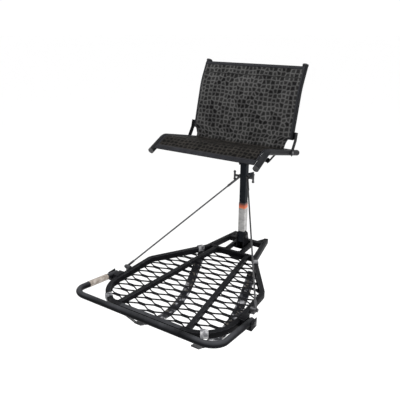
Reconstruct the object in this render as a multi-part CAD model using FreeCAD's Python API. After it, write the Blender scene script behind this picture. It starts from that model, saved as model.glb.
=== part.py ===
import FreeCAD, Part
import math
import os

# Hang-on tree stand: a post with a cable-hung platform, a folding sling seat with a backrest,
# and a footrest that swings out in front of the platform.
# Frame: X to the right of someone facing the tree, Y towards the tree, Z up, millimetres.
# The origin is where the trunk's front line meets the platform's top.

V = FreeCAD.Vector

# Post and tree
POST_Y = -50.0
POST_SIDE = 31.75
POST_WALL = 2.5
POST_BOTTOM_Z = 10.0
POST_TOP_Z = 486.0
TREE_RADIUS = 112.0
BRACE_HALF = 26.0
BRACE_HEIGHT = 26.0
BRACE_WALL = 4.0
BITE_R = 4.0
WRAP_Z = (68.0, 220.0)
WRAP_THICKNESS = 0.6

# Platform, outer sizes
RAIL_WIDTH = 20.0
RAIL_HEIGHT = 25.0
RAIL_WALL = 2.0
TIP_HALF = 96.0
TIP_Y = 56.0
KINK_HALF = 138.0
KINK_Y = -164.0
BEND_HALF = 305.0
BEND_Y = -423.0
SIDE_HALF = 314.0
FRONT_Y = -820.0
BEND_RADIUS = 45.0
CORNER_RADIUS = 150.0
CORNER_SPARE = 6.0
REAR_BAR_Y = -3.0
REAR_BAR_WIDTH = 24.0
FRONT_BAR_Y = -156.0
FRONT_BAR_WIDTH = 16.0
SHORT_STRUT_X = 40.0
SHORT_STRUT_WIDTH = 16.0
STRUT_SIDE = 20.0
STRUT_REAR_X = 86.0
STRUT_FRONT_X = 168.0
VEE_WIDTH = 14.0
VEE_NOTCH_X = 60.0

# Grate of expanded metal
GRATE_THICKNESS = 3.0
MESH_LONG = 132.0
MESH_SHORT = 46.0
MESH_BOND = 34.0
MESH_STRAND = 4.0
GRATE_MARGIN = 3.0
SMALL_OPENING = 120.0

# Platform hinge
HINGE_Z = 40.0
HINGE_BOLT_R = 5.0
EAR_THICKNESS = 4.0
EAR_TOP_R = 24.0
EAR_FRONT = 26.0

# Cables and the rod that carries them
HOOK_Z = 352.0
HOOK_Y = -54.0
HOOK_ROD_R = 5.0
HOOK_HALF = 50.0
HOOK_HEAD_HEIGHT = 36.0
HOOK_HEAD_R = 6.5
HOOK_SEAT_R = 6.0
COLLAR_R = 9.0
COLLAR_WIDTH = 4.0
CABLE_R = 3.75
CABLE_LOW_BACK = 260.0
CABLE_LOW_OUT = 20.9
CABLE_LOW_Z = 0.0
EYE_R = 10.0
EYE_WIDTH = 5.0
FERRULE_R = 5.5
FERRULE_TOP_LENGTH = 70.0
FERRULE_LOW_LENGTH = 32.0
LUG_BOLT_R = 4.0
LUG_HEAD = 6.2
LUG_FLATS = 14.0
LUG_HALF = 8.7
LUG_FOOT_Z = -18.0

# Footrest
FOOT_TUBE_R = 12.7
FOOT_WALL = 1.6
FOOT_OUT = 31.3
FOOT_REACH = 252.0
FOOT_TILT = 9.0
FOOT_RADIUS = 64.0
FOOT_PIVOT_BACK = 189.0
FOOT_PIVOT_Z = -8.0
FOOT_TAIL = 14.0
FOOT_BOLT_R = 4.0
BRACKET_WALL = 4.0
BRACKET_HALF_LENGTH = 22.0
BRACKET_FLOOR_Z = -29.0
BRACKET_LAP = 7.0
STOP_AHEAD = 18.5
SLEEVE_AHEAD = 51.0
SLEEVE_LENGTH = 110.0

# Seat
SEAT_HALF = 250.0
SEAT_TUBE_R = 12.7
SEAT_WALL = 1.6
SEAT_PIVOT_Z = 507.0
PIVOT_TUBE_R = 12.0
SEAT_LOW = (-190.0, 541.0)
SEAT_CREST = (-352.0, 579.0)
SEAT_LIP = (-449.0, 535.0)
SEAT_LOW_RADIUS = 150.0
SEAT_CREST_RADIUS = 55.0
SEAT_BAR_Y = -250.0
SEAT_BAR_Z = 515.0
SEAT_BAR_R = 9.5
TAB_THICKNESS = 5.0
TAB_WIDTH = 18.0
YOKE_THICKNESS = 5.0
YOKE_BOLT_R = 4.0
YOKE_BOLT_Z = (438.0, 468.0)
FABRIC = 3.0
FABRIC_LIFT = 7.0
FABRIC_LIP_INSET = 12.0

# Backrest
BACK_HALF = 242.0
BACK_PIVOT_Y = -132.0
BACK_FOOT = (-98.0, 574.0)
BACK_BEND = (-36.0, 784.0)
BACK_TOP = (17.0, 877.0)
BACK_RADIUS = 260.0
BACK_BAR_R = 9.5
BACK_BAR_DROP = 8.0
BACK_PLATE = 3.0
BACK_BOLT_R = 4.0
BACK_FABRIC_START = 6.0
BACK_FABRIC_END = 12.0

# Shoulder straps
STRAP_X = 146.0
STRAP_WIDTH = 52.0
STRAP_THICKNESS = 7.0
STRAP_LINE = [(-216, -48), (-256, -92), (-304, -150), (-368, -202), (-470, -224), (-580, -214), (-694, -160)]
WEBBING_WIDTH = 30.0
WEBBING_THICKNESS = 2.5
WEBBING_SETBACK = 5.0
BUCKLE_SETBACK = 10.5
LOOP_X = 232.0
LOOP_REAR_AHEAD = 40.0
BUCKLE = (38.0, 26.0, 8.0)

# Bolts, as ratios of the shank's radius
HEAD_RATIO = 1.3
FLATS_RATIO = 3.3
WASHER_RATIO = 2.1
WASHER = 1.5

# Fits
WELD_DEPTH = 1.0
RUNNING = 0.05
SOFT_GAP = 0.3
SIDE_GAP = 0.5
REST_GAP = 0.3

X_AXIS = V(1, 0, 0)
Z_AXIS = V(0, 0, 1)
POST_HALF = POST_SIDE / 2
RAIL_Z = -RAIL_HEIGHT / 2
CABLE_LOW_Y = FRONT_Y + CABLE_LOW_BACK
FOOT_PIVOT_Y = FRONT_Y + FOOT_PIVOT_BACK
LOOP_REAR_Y = KINK_Y - LOOP_REAR_AHEAD


def save(name, *solids):
    """Write the solids of one sub-part to its own file."""
    shape = solids[0] if len(solids) == 1 else Part.makeCompound(list(solids))
    shape.exportStep("parts/" + name + ".step")


def mirror(shape):
    """The same piece on the other side of the middle plane."""
    return shape.mirror(V(0, 0, 0), V(1, 0, 0))


def biggest(shape):
    """The largest solid of a shape that a cut has split."""
    return max(shape.Solids, key=lambda solid: solid.Volume)


def bent_wire(points, radii):
    """Straight runs joined by tangent arcs, one radius for each inner point."""
    edges = []
    start = points[0]
    for corner, after, radius in zip(points[1:-1], points[2:], radii):
        back = (start - corner).normalize()
        ahead = (after - corner).normalize()
        turn = math.pi - back.getAngle(ahead)
        reach = radius * math.tan(turn / 2)
        middle = corner + (back + ahead).normalize() * (radius / math.cos(turn / 2) - radius)
        enter = corner + back * reach
        leave = corner + ahead * reach
        edges.append(Part.makeLine(start, enter))
        edges.append(Part.Arc(enter, middle, leave).toShape())
        start = leave
    edges.append(Part.makeLine(start, points[-1]))
    return Part.Wire(edges)


def sweep(spine, section, across):
    """A solid swept along a planar spine whose plane's normal is across."""
    shell = Part.BRepOffsetAPI.MakePipeShell(spine)
    shell.setBiNormalMode(across)
    shell.add(section)
    shell.build()
    shell.makeSolid()
    solid = shell.shape()
    if solid.Volume < 0:
        solid.reverse()
    return solid


def rectangle(centre, along, across, width, height):
    """A rectangular wire square to along, with its height on across."""
    side = along.cross(across).normalize() * (width / 2)
    rise = V(across).normalize() * (height / 2)
    corners = [centre - side - rise, centre + side - rise, centre + side + rise, centre - side + rise]
    return Part.makePolygon(corners + corners[:1])


def flat_bar(points, radii, across, width, height):
    """A solid bar of rectangular section; height runs along across."""
    along = (points[1] - points[0]).normalize()
    section = rectangle(points[0], along, across, width, height)
    return sweep(bent_wire(points, radii), section, across)


def box_tube(points, radii, across, width, height, wall):
    """A rectangular tube, open at both ends."""
    outer = flat_bar(points, radii, across, width, height)
    return outer.cut(flat_bar(points, radii, across, width - 2 * wall, height - 2 * wall))


def round_bar(points, radii, across, radius):
    """A round bar along straight runs and arcs."""
    along = (points[1] - points[0]).normalize()
    circle = Part.Wire(Part.makeCircle(radius, points[0], along))
    return sweep(bent_wire(points, radii), circle, across)


def round_tube(points, radii, across, radius, wall):
    """A round tube, open at both ends."""
    return round_bar(points, radii, across, radius).cut(round_bar(points, radii, across, radius - wall))


def rod(start, end, radius):
    """A straight round rod between two points."""
    return Part.makeCylinder(radius, (end - start).Length, start, end - start)


def cross_rod(x0, x1, y, z, radius):
    """A rod along X."""
    return rod(V(x0, y, z), V(x1, y, z), radius)


def block(x0, x1, y0, y1, z0, z1):
    """A box between two corners."""
    return Part.makeBox(x1 - x0, y1 - y0, z1 - z0, V(x0, y0, z0))


def side_plate(outline, x0, x1):
    """A plate across X with its outline given as (y, z) points."""
    face = Part.Face(Part.makePolygon([V(x0, y, z) for y, z in outline + outline[:1]]))
    return face.extrude(V(x1 - x0, 0, 0))


def level_plate(outline, z0, z1):
    """A level plate with its outline given as (x, y) points."""
    face = Part.Face(Part.makePolygon([V(x, y, z0) for x, y in outline + outline[:1]]))
    return face.extrude(V(0, 0, z1 - z0))


def hexagon(x0, x1, y, z, flats):
    """A hexagonal prism along X, flats wide."""
    corner = flats / math.sqrt(3)
    outline = []
    for step in range(6):
        angle = math.radians(60 * step)
        outline.append((y + corner * math.cos(angle), z + corner * math.sin(angle)))
    return side_plate(outline, x0, x1)


def bolt_height(radius, washer=True):
    """How far a hex head and its washer stand above what they bear on."""
    return HEAD_RATIO * radius + (WASHER if washer else 0)


def bolt(x_head, x_end, y, z, radius, washer=True):
    """A hex bolt along X: the head starts at x_head, the shank ends at x_end."""
    way = 1 if x_end > x_head else -1
    neck = x_head + way * HEAD_RATIO * radius
    under = x_head + way * bolt_height(radius, washer)
    shape = hexagon(min(x_head, neck), max(x_head, neck), y, z, FLATS_RATIO * radius)
    if washer:
        shape = shape.fuse(cross_rod(neck, under, y, z, WASHER_RATIO * radius))
    return shape.fuse(cross_rod(neck, x_end, y, z, radius)).removeSplitter()


def nut(x0, x1, y, z, radius):
    """A hex nut along X on a shank of this radius."""
    return hexagon(x0, x1, y, z, FLATS_RATIO * radius).cut(cross_rod(x0, x1, y, z, radius))


def ring(centre, axis, outer, inner, width):
    """A flat ring centred on a point."""
    foot = centre - axis * (width / 2)
    return Part.makeCylinder(outer, width, foot, axis).cut(Part.makeCylinder(inner, width, foot, axis))


def shift(points, distance):
    """An open outline of 2-D points moved sideways, to the left of its direction."""
    normals = []
    for (a0, b0), (a1, b1) in zip(points, points[1:]):
        size = math.hypot(a1 - a0, b1 - b0)
        normals.append((-(b1 - b0) / size, (a1 - a0) / size))
    moved = []
    for index, (a, b) in enumerate(points):
        before = normals[max(index - 1, 0)]
        after = normals[min(index, len(normals) - 1)]
        scale = distance / (1 + before[0] * after[0] + before[1] * after[1])
        moved.append((a + (before[0] + after[0]) * scale, b + (before[1] + after[1]) * scale))
    return moved


def on_side(points, x):
    """(y, z) points as vectors at one x."""
    return [V(x, y, z) for y, z in points]


def on_level(points, z):
    """(x, y) points as vectors at one z."""
    return [V(x, y, z) for x, y in points]


def make_post():
    """Square post, its cap and wrap, and the brace that bites the trunk."""
    post = block(-POST_HALF, POST_HALF, POST_Y - POST_HALF, POST_Y + POST_HALF, POST_BOTTOM_Z, POST_TOP_Z)
    post = post.makeFillet(3.0, [edge for edge in post.Edges if edge.BoundBox.ZLength > 100])
    inner = POST_HALF - POST_WALL
    post = post.cut(block(-inner, inner, POST_Y - inner, POST_Y + inner, POST_BOTTOM_Z, POST_TOP_Z))
    rods = [(HOOK_Y, HOOK_Z, HOOK_ROD_R), (POST_Y, HINGE_Z, HINGE_BOLT_R)]
    rods += [(POST_Y, z, YOKE_BOLT_R) for z in YOKE_BOLT_Z]
    for y, z, radius in rods:
        post = post.cut(cross_rod(-POST_SIDE, POST_SIDE, y, z, radius))
    save("post_tube", post)

    plug = inner - RUNNING
    cap = block(-POST_HALF, POST_HALF, POST_Y - POST_HALF, POST_Y + POST_HALF, POST_TOP_Z, POST_TOP_Z + 3)
    cap = cap.fuse(block(-plug, plug, POST_Y - plug, POST_Y + plug, POST_TOP_Z - 12, POST_TOP_Z))
    save("post_cap", cap.removeSplitter())

    out = POST_HALF + WRAP_THICKNESS
    wrap = block(-out, out, POST_Y - out, POST_Y + out, *WRAP_Z)
    wrap = wrap.cut(block(-POST_HALF, POST_HALF, POST_Y - POST_HALF, POST_Y + POST_HALF, *WRAP_Z))
    save("post_wrap", wrap)

    back = POST_Y + POST_HALF
    bark = TREE_RADIUS - math.sqrt(TREE_RADIUS ** 2 - BRACE_HALF ** 2)
    low, high = HOOK_Z - BRACE_HEIGHT / 2, HOOK_Z + BRACE_HEIGHT / 2
    arm = [(POST_HALF, back), (POST_HALF, back + 12), (BRACE_HALF, bark)]
    outline = [(-x, y) for x, y in arm] + list(reversed(arm))
    brace = level_plate(outline, low, high)
    inner = [(-POST_HALF + 3, back + BRACE_WALL + 9), (-BRACE_HALF + BRACE_WALL, bark + 1)]
    pocket = [(0.0, back + BRACE_WALL)] + inner + [(-x, y) for x, y in reversed(inner)]
    brace = brace.cut(level_plate(pocket, low - 1, high + 1))
    for side in (-1, 1):
        end = side * BRACE_HALF
        brace = brace.cut(cross_rod(end - 15, end + 15, bark + 1, HOOK_Z, BITE_R))
    save("tree_brace", brace)


def make_hooks():
    """The rod through the post: cable eyes next to the post, strap hooks at its ends."""
    shape = cross_rod(-HOOK_HALF, HOOK_HALF, HOOK_Y, HOOK_Z, HOOK_ROD_R)
    half = HOOK_HEAD_HEIGHT / 2
    start = POST_HALF + SIDE_GAP + EYE_WIDTH + SIDE_GAP
    end = start + COLLAR_WIDTH
    collar = cross_rod(start, end, HOOK_Y, HOOK_Z, COLLAR_R)
    collar = collar.cut(cross_rod(start, end, HOOK_Y, HOOK_Z, HOOK_ROD_R))
    seat = cross_rod(end, HOOK_HALF, HOOK_Y, HOOK_Z, HOOK_SEAT_R)
    head = rod(V(HOOK_HALF, HOOK_Y, HOOK_Z - half), V(HOOK_HALF, HOOK_Y, HOOK_Z + half), HOOK_ROD_R)
    for z in (HOOK_Z - half, HOOK_Z + half):
        head = head.fuse(Part.makeSphere(HOOK_HEAD_R, V(HOOK_HALF, HOOK_Y, z)))
    for piece in (seat, head):
        shape = shape.fuse(piece).fuse(mirror(piece))
    save("strap_hook_rod", shape.removeSplitter())
    save("hook_collars", collar, mirror(collar))


def rail_outside(y):
    """Half the platform's width between the outer faces of its side rails."""
    share = (y - BEND_Y) / (FRONT_Y - BEND_Y)
    return BEND_HALF + (SIDE_HALF - BEND_HALF) * share


def cable_line(side):
    """Centres of the cable's upper and lower eyes."""
    top = V(side * (POST_HALF + SIDE_GAP + EYE_WIDTH / 2), HOOK_Y, HOOK_Z)
    low = V(side * (rail_outside(CABLE_LOW_Y) + CABLE_LOW_OUT), CABLE_LOW_Y, CABLE_LOW_Z)
    return top, low


def make_cables():
    """Taut coated cables with a pressed ferrule and an eye at each end."""
    upper = []
    lower = []
    for side, name in ((-1, "left"), (1, "right")):
        top, low = cable_line(side)
        way = (low - top).normalize()
        start = top + way * EYE_R
        end = low - way * EYE_R
        save("cable_" + name, rod(start + way * 4, end - way * 4, CABLE_R))
        for centre, tip, length, group, hole in (
            (top, start, FERRULE_TOP_LENGTH, upper, HOOK_ROD_R + RUNNING),
            (low, end, -FERRULE_LOW_LENGTH, lower, LUG_BOLT_R),
        ):
            eye = ring(centre, X_AXIS, EYE_R, hole, EYE_WIDTH)
            ferrule = rod(tip - way * math.copysign(2, length), tip + way * length, FERRULE_R)
            shape = eye.fuse(ferrule.cut(Part.makeCylinder(EYE_R - 1, 60, centre - X_AXIS * 30, X_AXIS)))
            shape = shape.cut(rod(start + way * 4, end - way * 4, CABLE_R))
            group.append(biggest(shape.removeSplitter()))
    save("cable_eyes_upper", *upper)
    save("cable_eyes_lower", *lower)


def make_hinge():
    """Ears and base plate on the platform, and the bolt through the post's foot."""
    inside = POST_HALF + SIDE_GAP
    outside = inside + EAR_THICKNESS
    bar_front = REAR_BAR_Y - REAR_BAR_WIDTH / 2
    outline = [(POST_Y - EAR_FRONT, -RAIL_HEIGHT), (bar_front, -RAIL_HEIGHT), (bar_front, 0.0)]
    for step in range(7):
        angle = math.radians(10 + 160 * step / 6)
        outline.append((POST_Y + EAR_TOP_R * math.cos(angle), HINGE_Z + EAR_TOP_R * math.sin(angle)))
    ear = side_plate(outline, inside, outside)
    ear = ear.cut(cross_rod(0, outside + 1, POST_Y, HINGE_Z, HINGE_BOLT_R + RUNNING))
    save("hinge_ears", ear, mirror(ear))
    edge = SHORT_STRUT_X - SHORT_STRUT_WIDTH / 2
    base = block(-edge, edge, POST_Y - EAR_FRONT, bar_front, -RAIL_HEIGHT, 4 - RAIL_HEIGHT)
    for plate in (ear, mirror(ear)):
        base = base.cut(plate)
    save("hinge_base", *base.Solids)
    head = outside + REST_GAP + bolt_height(HINGE_BOLT_R)
    save("hinge_bolt", bolt(head, -outside - 10, POST_Y, HINGE_Z, HINGE_BOLT_R))
    save("hinge_nut", nut(-outside - REST_GAP - 7, -outside - REST_GAP, POST_Y, HINGE_Z, HINGE_BOLT_R))


def side_rail_points():
    """Centre line of the right side rail, from the kink round to the front rail."""
    outer = [(KINK_HALF, KINK_Y), (BEND_HALF, BEND_Y), (SIDE_HALF, FRONT_Y), (0.0, FRONT_Y)]
    inner = shift(outer, -RAIL_WIDTH / 2)
    return inner[:3] + [(corner_start(inner) - CORNER_SPARE, inner[3][1])]


def corner_start(line):
    """The x where the front corner's arc meets the straight front rail."""
    (x0, y0), (x1, y1) = line[1:3]
    lean = math.atan2(x1 - x0, y0 - y1)
    return x1 - CORNER_RADIUS * math.tan((math.pi / 2 + lean) / 2)


def make_platform_frame():
    """Welded rectangular tubes; each later tube is coped to the earlier ones."""
    rail_line = on_level(side_rail_points(), RAIL_Z)
    radii = [BEND_RADIUS, CORNER_RADIUS]
    rail = box_tube(rail_line, radii, Z_AXIS, RAIL_WIDTH, RAIL_HEIGHT, RAIL_WALL)
    solid_rail = flat_bar(rail_line, radii, Z_AXIS, RAIL_WIDTH, RAIL_HEIGHT)
    save("side_rail_right", rail)
    save("side_rail_left", mirror(rail))

    corner = rail_line[-1]
    front_line = [V(-corner.x, corner.y, RAIL_Z), corner]
    save("front_rail", box_tube(front_line, [], Z_AXIS, RAIL_WIDTH, RAIL_HEIGHT, RAIL_WALL))

    kink = rail_line[0]
    lean = math.atan2(KINK_HALF - TIP_HALF, TIP_Y - KINK_Y)
    tip = V(TIP_HALF - RAIL_WIDTH / 2 / math.cos(lean), TIP_Y, RAIL_Z)
    start = V(kink.x, kink.y, RAIL_Z) - (tip - kink).normalize() * 6
    rear_solid = flat_bar([start, tip], [], Z_AXIS, RAIL_WIDTH, RAIL_HEIGHT).cut(solid_rail)
    rear = box_tube([start, tip], [], Z_AXIS, RAIL_WIDTH, RAIL_HEIGHT, RAIL_WALL).cut(solid_rail)
    save("rear_rail_right", biggest(rear))
    save("rear_rail_left", mirror(biggest(rear)))

    fillers = [solid_rail, mirror(solid_rail), rear_solid, mirror(rear_solid)]

    def coped(start, end, width, height, z):
        """A straight tube cut to the frame tubes that it meets."""
        line = [V(start[0], start[1], z), V(end[0], end[1], z)]
        filled = flat_bar(line, [], Z_AXIS, width, height)
        tube = box_tube(line, [], Z_AXIS, width, height, RAIL_WALL)
        for other in fillers:
            filled = filled.cut(other)
            tube = tube.cut(other)
        fillers.append(filled)
        return biggest(tube)

    ends = (-TIP_HALF, REAR_BAR_Y), (TIP_HALF, REAR_BAR_Y)
    save("rear_crossbar", coped(*ends, REAR_BAR_WIDTH, RAIL_HEIGHT, RAIL_Z))
    wide = KINK_HALF - 4
    ends = (-wide, FRONT_BAR_Y), (wide, FRONT_BAR_Y)
    save("front_crossbar", coped(*ends, FRONT_BAR_WIDTH, RAIL_HEIGHT, RAIL_Z))
    vee = coped((VEE_NOTCH_X, REAR_BAR_Y), (TIP_HALF - 9, TIP_Y - 4), VEE_WIDTH, RAIL_HEIGHT, RAIL_Z)
    save("vee_right", vee)
    save("vee_left", mirror(vee))
    ends = (SHORT_STRUT_X, FRONT_BAR_Y), (SHORT_STRUT_X, REAR_BAR_Y)
    short = coped(*ends, SHORT_STRUT_WIDTH, STRUT_SIDE, RAIL_Z)
    save("short_strut_right", short)
    save("short_strut_left", mirror(short))
    fillers.append(flat_bar(front_line, [], Z_AXIS, RAIL_WIDTH, RAIL_HEIGHT))
    ends = (STRUT_REAR_X, FRONT_BAR_Y), (STRUT_FRONT_X, FRONT_Y + RAIL_WIDTH / 2)
    strut = coped(*ends, STRUT_SIDE, STRUT_SIDE, -STRUT_SIDE / 2)
    save("inner_strut_right", strut)
    save("inner_strut_left", mirror(strut))

    x, y, z = cable_line(1)[1]
    hug = rail_outside(y) - WELD_DEPTH
    inside = x - EYE_WIDTH / 2 - REST_GAP
    outside = x + EYE_WIDTH / 2 + REST_GAP
    lug = cross_rod(hug, outside, y, z, LUG_BOLT_R)
    lug = lug.fuse(hexagon(outside, outside + LUG_HEAD, y, z, LUG_FLATS))
    lug = lug.fuse(cross_rod(hug, inside, y, z, LUG_HALF))
    lug = lug.fuse(block(hug, inside, y - LUG_HALF, y + LUG_HALF, LUG_FOOT_Z, z)).cut(solid_rail)
    save("cable_lugs", lug, mirror(lug))
    return fillers


def make_grate(fillers):
    """Expanded metal welded under the struts, inside the rails."""
    line = side_rail_points()
    outline = line[:2] + [(line[2][0], line[2][1])]
    outline = [(line[0][0], FRONT_BAR_Y - FRONT_BAR_WIDTH / 2)] + outline[1:]
    outline = outline + [(-x, y) for x, y in reversed(outline)]
    top = -STRUT_SIDE
    plate = level_plate(outline, top - GRATE_THICKNESS, top)
    for other in fillers:
        plate = plate.cut(other)
    plate = biggest(plate.removeSplitter())
    inner = top_face(plate, top).makeOffset2D(-GRATE_MARGIN)
    holes = []
    rows = int((FRONT_BAR_Y - FRONT_Y) / (MESH_SHORT / 2)) + 1
    for row in range(rows):
        y = FRONT_BAR_Y - FRONT_BAR_WIDTH / 2 - MESH_SHORT / 2 * (row + 1)
        for column in range(-3, 4):
            x = MESH_LONG * (column + (0.25 if row % 2 else -0.25))
            hole = mesh_hole(x, y, top)
            for piece in hole.common(inner).Faces:
                if piece.Area > SMALL_OPENING:
                    holes.append(piece.OuterWire)
    sheet = Part.Face([top_face(plate, top).OuterWire] + holes)
    sheet.validate()
    save("platform_grate", sheet.extrude(V(0, 0, -GRATE_THICKNESS)))
    return level_plate(outline, top - GRATE_THICKNESS - SOFT_GAP, top + SOFT_GAP)


def top_face(plate, top):
    """The level face of a plate at height top."""
    return [face for face in plate.Faces if abs(face.CenterOfMass.z - top) < 1e-6][0]


def mesh_hole(x, y, z):
    """One opening of the expanded metal."""
    half = MESH_BOND / 2
    tip = MESH_LONG / 2 - half
    rise = MESH_SHORT / 2 - MESH_STRAND
    points = [(tip, 0), (half, rise), (-half, rise), (-tip, 0), (-half, -rise), (half, -rise)]
    corners = [V(x + a, y + b, z) for a, b in points]
    return Part.Face(Part.makePolygon(corners + corners[:1]))


def make_footrest(fillers):
    """Bent tube on two brackets outside the side rails, with its stops."""
    axis = V(0, FOOT_PIVOT_Y, FOOT_PIVOT_Z)
    rear = FOOT_PIVOT_Y + FOOT_TAIL
    front = FOOT_PIVOT_Y - FOOT_REACH
    half = rail_outside(FOOT_PIVOT_Y) + FOOT_OUT
    points = on_level([(half, rear), (half, front), (-half, front), (-half, rear)], FOOT_PIVOT_Z)
    tube = round_tube(points, [FOOT_RADIUS, FOOT_RADIUS], Z_AXIS, FOOT_TUBE_R, FOOT_WALL)
    bore = FOOT_BOLT_R + RUNNING
    tube = tube.cut(cross_rod(-2 * half, 2 * half, FOOT_PIVOT_Y, FOOT_PIVOT_Z, bore))
    plugs = []
    for side in (-1, 1):
        end = V(side * half, rear, FOOT_PIVOT_Z)
        plug = rod(end, end + V(0, 2, 0), FOOT_TUBE_R)
        plugs.append(plug.fuse(rod(end, end - V(0, 6, 0), FOOT_TUBE_R - FOOT_WALL)).removeSplitter())
    sleeve_start = V(-half, FOOT_PIVOT_Y - SLEEVE_AHEAD, FOOT_PIVOT_Z)
    sleeve_end = sleeve_start - V(0, SLEEVE_LENGTH, 0)
    sleeve = rod(sleeve_start, sleeve_end, FOOT_TUBE_R + 1).cut(rod(sleeve_start, sleeve_end, FOOT_TUBE_R))
    for shape in [tube, sleeve] + plugs:
        shape.rotate(axis, X_AXIS, -FOOT_TILT)
    save("footrest_tube", tube)
    save("footrest_plugs", *plugs)
    save("footrest_sleeve", sleeve)

    tilt = math.radians(FOOT_TILT)
    stop_top = FOOT_PIVOT_Z + STOP_AHEAD * math.tan(tilt) - FOOT_TUBE_R / math.cos(tilt) - REST_GAP
    y0 = FOOT_PIVOT_Y - BRACKET_HALF_LENGTH
    y1 = FOOT_PIVOT_Y + BRACKET_HALF_LENGTH
    inside = half - FOOT_TUBE_R - SIDE_GAP
    outside = half + FOOT_TUBE_R + SIDE_GAP
    floor = BRACKET_FLOOR_Z
    cheek = FOOT_PIVOT_Z + 13
    bracket = block(rail_outside(FOOT_PIVOT_Y) - BRACKET_LAP, inside, y0, y1, floor - BRACKET_WALL, cheek)
    bracket = bracket.fuse(block(outside, outside + BRACKET_WALL, y0, y1, floor - BRACKET_WALL, cheek))
    bracket = bracket.fuse(block(inside, outside, y0, y1, floor - BRACKET_WALL, floor))
    bracket = bracket.fuse(block(inside, outside, y0, FOOT_PIVOT_Y - STOP_AHEAD, floor, stop_top))
    for other in fillers[:1]:
        bracket = bracket.cut(other)
    bracket = biggest(bracket).removeSplitter()
    bracket = bracket.cut(cross_rod(inside - 16, outside + 9, FOOT_PIVOT_Y, FOOT_PIVOT_Z, FOOT_BOLT_R))
    save("footrest_bracket_right", bracket)
    save("footrest_bracket_left", mirror(bracket))
    head = outside + BRACKET_WALL + REST_GAP + bolt_height(FOOT_BOLT_R)
    pivot = bolt(head, inside - 12, FOOT_PIVOT_Y, FOOT_PIVOT_Z, FOOT_BOLT_R)
    save("footrest_bolts", pivot, mirror(pivot))


def seat_line():
    """Centre line of a seat rail as (y, z) points, from its rear end to the lip."""
    slope = (SEAT_LOW[1] - SEAT_PIVOT_Z) / (SEAT_LOW[0] - POST_Y)
    rear = POST_Y + SEAT_TUBE_R + 3
    return [(rear, SEAT_PIVOT_Z + slope * (rear - POST_Y)), SEAT_LOW, SEAT_CREST, SEAT_LIP]


def back_line():
    """Centre line of a backrest rail as (y, z) points, from its foot to its top."""
    return [BACK_FOOT, BACK_BEND, BACK_TOP]


def sling_corner():
    """Where the sling turns from the seat to the backrest, as a (y, z) point."""
    (y0, z0), (y1, z1) = shift(seat_line(), -FABRIC_LIFT)[:2]
    (y2, z2), (y3, z3) = shift(back_line(), FABRIC_LIFT)[:2]
    seat_slope = (z1 - z0) / (y1 - y0)
    back_slope = (y3 - y2) / (z3 - z2)
    z = (z0 + seat_slope * (y2 - back_slope * z2 - y0)) / (1 - seat_slope * back_slope)
    return y2 + back_slope * (z - z2), z


def toward(start, end, distance):
    """A 2-D point some way from start towards end."""
    size = math.hypot(end[0] - start[0], end[1] - start[1])
    return tuple(a + (b - a) * distance / size for a, b in zip(start, end))


def pivot_height():
    """Height of the backrest's pivot, on the seat rail's centre line."""
    (y0, z0), (y1, z1) = seat_line()[:2]
    return z0 + (z1 - z0) * (BACK_PIVOT_Y - y0) / (y1 - y0)


def sling_half(rail_half):
    """Half width of the sling where it meets the round rails."""
    low = FABRIC_LIFT - FABRIC / 2
    return rail_half - math.sqrt(SEAT_TUBE_R ** 2 - low ** 2) - SOFT_GAP


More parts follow.
